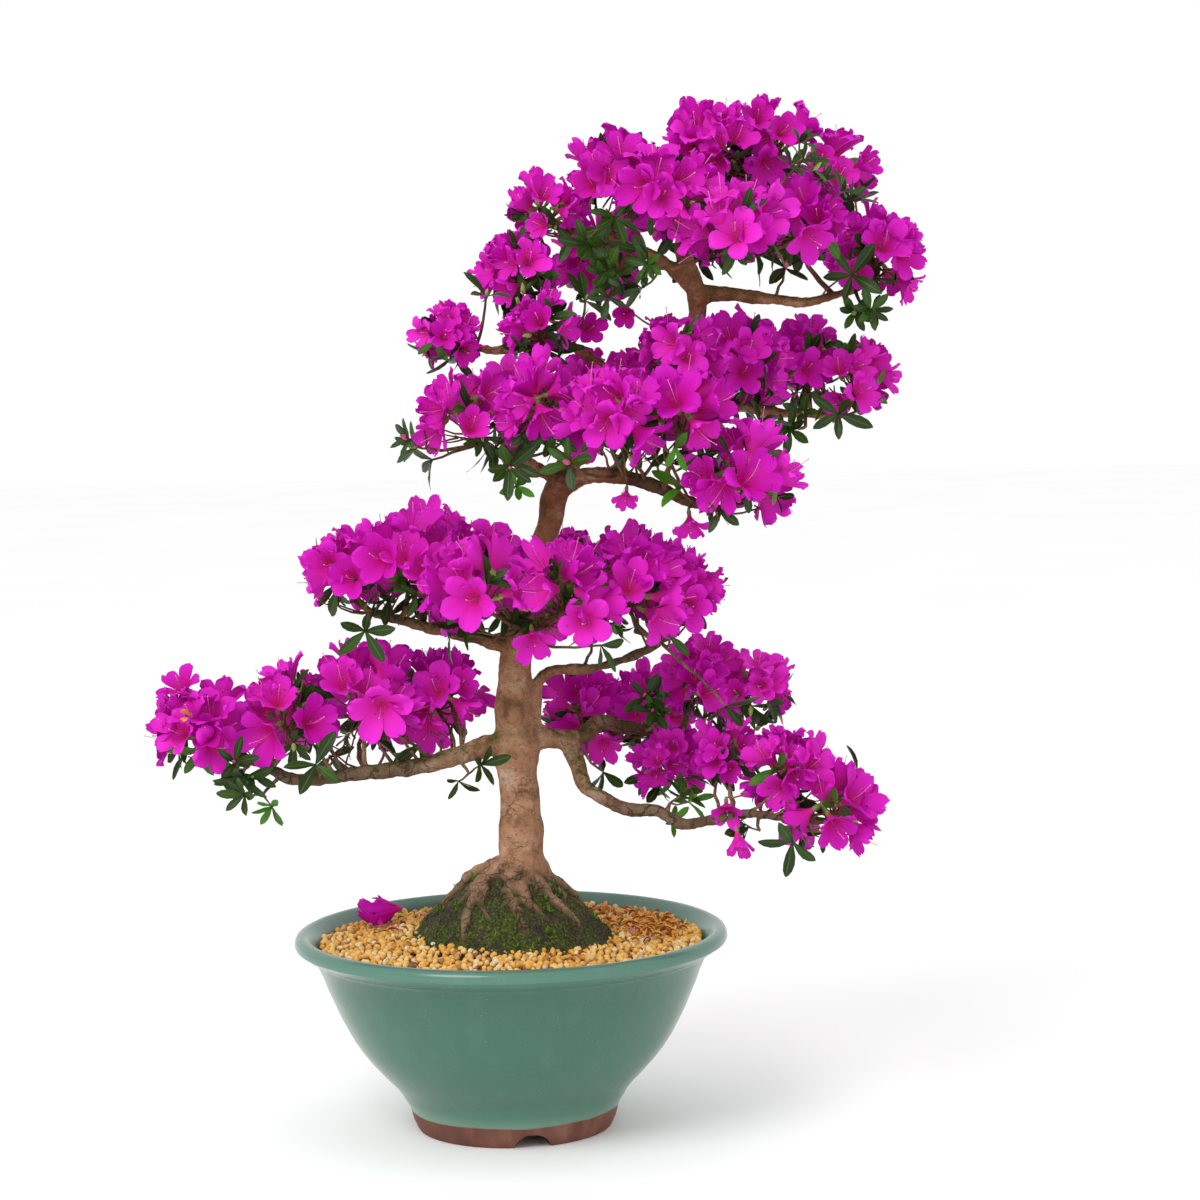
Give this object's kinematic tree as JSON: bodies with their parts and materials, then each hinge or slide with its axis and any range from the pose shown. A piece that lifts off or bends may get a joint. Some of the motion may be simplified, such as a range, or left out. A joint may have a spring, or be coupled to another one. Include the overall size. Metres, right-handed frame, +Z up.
{
  "type": "satsuki azalea bonsai",
  "caption": "Flowering satsuki azalea bonsai with layered pads of magenta blooms on a bare trunk, in a round glazed pot with gravel and moss.",
  "frame": {"origin": "middle of the whole object's box in plan, at the underside of the pot's foot ring; the pot's own axis lies 28 mm from it towards -X", "axes": "+Z up along the trunk; -Y is the front, the side that the picture shows; +X to the right as seen from the front"},
  "size_m": [0.5279, 0.3, 0.7058],
  "materials": {
    "glazed_pot": "glossy grey-green glaze over a bare reddish-brown foot",
    "drain_mesh": "black plastic",
    "soil": "dark granular potting soil",
    "gravel": "pale ochre pumice grains",
    "moss": "dark green moss over soil",
    "bark": "smooth tan bark with flakes and mottles",
    "petals": "soft magenta petals",
    "leaves": "dark glossy green leaves"
  },
  "bodies": {
    "root": {"blooms_crown_back": "petals", "blooms_crown_front": "petals", "blooms_crown_left": "petals", "blooms_crown_right": "petals", "blooms_crown_top": "petals", "blooms_far_right": "petals", "blooms_left_tier": "petals", "blooms_lower_left": "petals", "blooms_lower_right": "petals", "blooms_middle_back": "petals", "blooms_middle_front": "petals", "blooms_middle_left": "petals", "blooms_middle_right": "petals", "blooms_right_back": "petals", "blooms_right_middle": "petals", "blooms_shoulder": "petals", "blooms_upper_back": "petals", "blooms_upper_front": "petals", "blooms_upper_left": "petals", "drain_mesh": "drain_mesh", "fallen_bloom": "petals", "gravel": "gravel", "leaf_whorl_1": "leaves", "leaf_whorl_2": "leaves", "leaf_whorl_3": "leaves", "leaf_whorl_4": "leaves", "leaf_whorl_5": "leaves", "leaf_whorl_6": "leaves", "leaf_whorl_7": "leaves", "leaf_whorl_8": "leaves", "leaf_whorl_9": "leaves", "leaf_whorl_10": "leaves", "leaf_whorl_11": "leaves", "leaf_whorl_12": "leaves", "leaf_whorl_13": "leaves", "leaf_whorl_14": "leaves", "leaf_whorl_15": "leaves", "leaf_whorl_16": "leaves", "leaf_whorl_17": "leaves", "leaf_whorl_18": "leaves", "leaf_whorl_19": "leaves", "leaf_whorl_20": "leaves", "leaf_whorl_21": "leaves", "leaf_whorl_22": "leaves", "leaf_whorl_23": "leaves", "leaf_whorl_24": "leaves", "leaf_whorl_25": "leaves", "leaf_whorl_26": "leaves", "leaf_whorl_27": "leaves", "leaf_whorl_28": "leaves", "leaf_whorl_29": "leaves", "leaf_whorl_30": "leaves", "leaf_whorl_31": "leaves", "leaf_whorl_32": "leaves", "leaf_whorl_33": "leaves", "leaf_whorl_34": "leaves", "moss_mound": "moss", "pot": "glazed_pot", "soil": "soil", "tree": "bark"}
  },
  "joints": []
}
